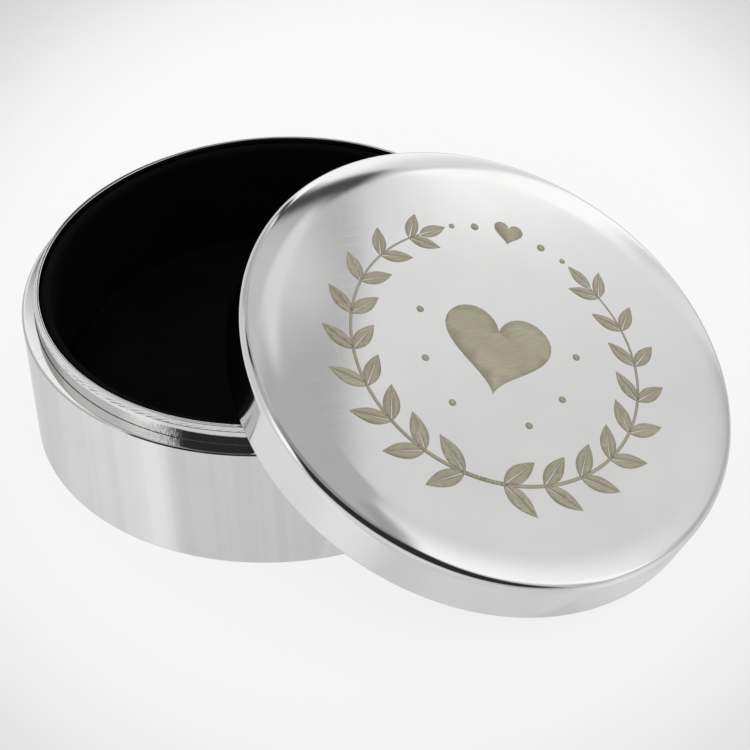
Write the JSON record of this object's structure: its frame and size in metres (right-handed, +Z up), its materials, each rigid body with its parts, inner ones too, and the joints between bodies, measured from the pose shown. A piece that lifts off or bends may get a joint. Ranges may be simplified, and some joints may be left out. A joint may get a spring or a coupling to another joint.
{
  "type": "keepsake box",
  "caption": "Round polished metal keepsake box with a velvet-lined drum and a loose crowned lid that leans on its neck; holds a lock of hair or another small memento.",
  "frame": {"origin": "middle of the drum's underside, on the surface that the box stands on", "axes": "+Z up along the drum's axis, -Y towards the side that the picture is taken from, +X to the right there; the open lid leans towards +X and -Y"},
  "size_m": [0.0828, 0.0768, 0.0317],
  "materials": {
    "nickel": "mirror-polished nickel plate with fine handling scratches",
    "velvet": "black velvet with a short pile",
    "felt": "black pressed felt",
    "card": "grey-brown lining board",
    "wadding": "off-white wadding"
  },
  "bodies": {
    "base": {"base_shell": "nickel", "neck_ring": "nickel", "wall_card": "card", "wall_velvet": "velvet", "floor_card": "card", "floor_wadding": "wadding", "floor_velvet": "velvet", "base_felt": "felt"},
    "lid": {"lid_shell": "nickel", "lid_lining": "velvet"}
  },
  "joints": [
    {"name": "lid_lift", "type": "slide", "parent": "base", "child": "lid", "axis": [0.3634, -0.2451, 0.8988], "range_m": [0, 0.06]}
  ]
}
